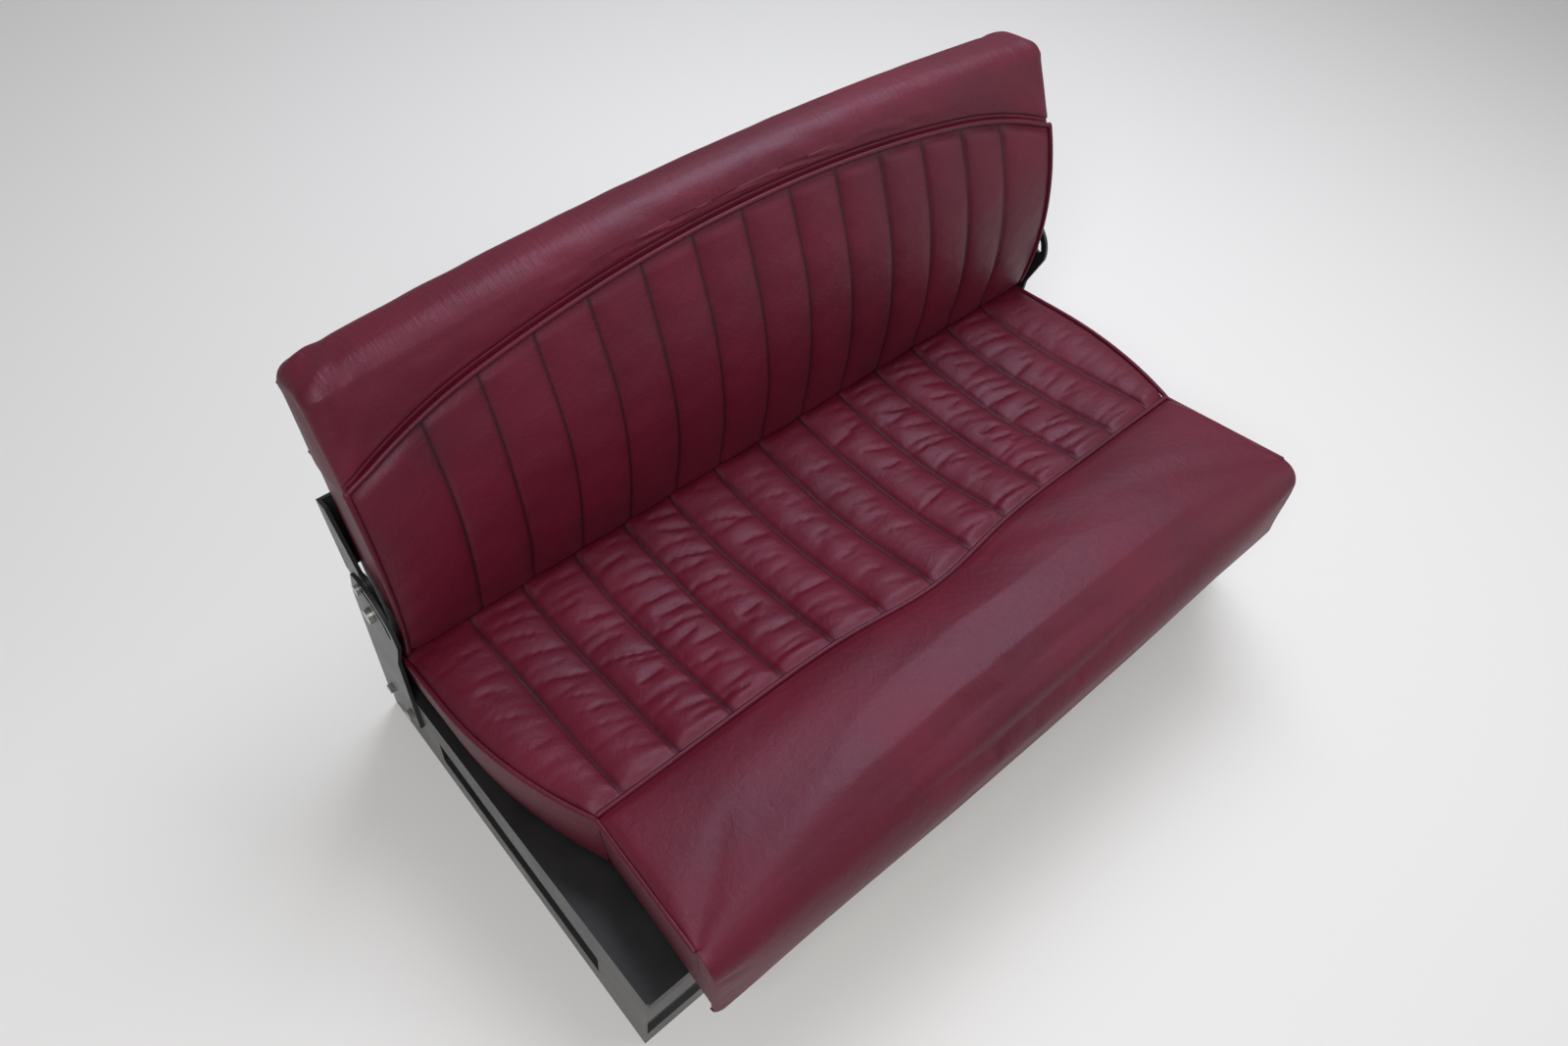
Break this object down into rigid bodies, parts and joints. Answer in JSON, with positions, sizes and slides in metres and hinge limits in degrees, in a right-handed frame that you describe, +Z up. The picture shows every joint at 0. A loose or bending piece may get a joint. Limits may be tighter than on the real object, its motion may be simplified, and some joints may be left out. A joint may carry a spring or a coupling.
{
  "type": "rear bench seat",
  "caption": "Fluted leather rear bench seat for a small open car, with piped cushion on a pressed-steel base and a squab that folds forward on side hinges.",
  "frame": {"origin": "centre of the four floor bolt holes, on the floor plane", "axes": "+X to the seat's left-hand side as seen from the front, right in a front view; +Y to the rear; +Z up"},
  "size_m": [1.162, 0.7118, 0.6641],
  "materials": {
    "leather": "oxblood grained leather, satin",
    "piping_leather": "oxblood leather bead, satin",
    "back_cloth": "dark red leathercloth over plywood",
    "board": "bare birch plywood",
    "black_enamel": "satin black enamel on steel",
    "plated_steel": "zinc-plated steel"
  },
  "bodies": {
    "root": {"seat_pan": "black_enamel", "heelboard": "black_enamel", "rear_riser": "black_enamel", "side_panel_left": "black_enamel", "side_panel_right": "black_enamel", "hinge_bracket_left": "black_enamel", "hinge_bracket_right": "black_enamel", "bracket_bolts_left": "plated_steel", "bracket_bolts_right": "plated_steel", "pivot_pin_left": "plated_steel", "pivot_pin_right": "plated_steel", "cushion_board": "board", "cushion_fluted_pad": "leather", "cushion_front_roll": "leather", "cushion_cross_piping": "piping_leather", "cushion_side_piping_left": "piping_leather", "cushion_side_piping_right": "piping_leather"},
    "squab": {"squab_board": "back_cloth", "squab_fluted_pad": "leather", "squab_border": "leather", "squab_arch_piping": "piping_leather", "squab_side_piping_left": "piping_leather", "squab_side_piping_right": "piping_leather", "hinge_arm_left": "black_enamel", "hinge_arm_right": "black_enamel", "squab_bolts_left": "plated_steel", "squab_bolts_right": "plated_steel", "stop_pin_left": "plated_steel", "stop_pin_right": "plated_steel"}
  },
  "joints": [
    {"name": "squab_fold", "type": "hinge", "parent": "root", "child": "squab", "pos_m": [0, 0.23599, 0.31641], "axis": [1, 0, 0], "range_deg": [0, 90]}
  ]
}
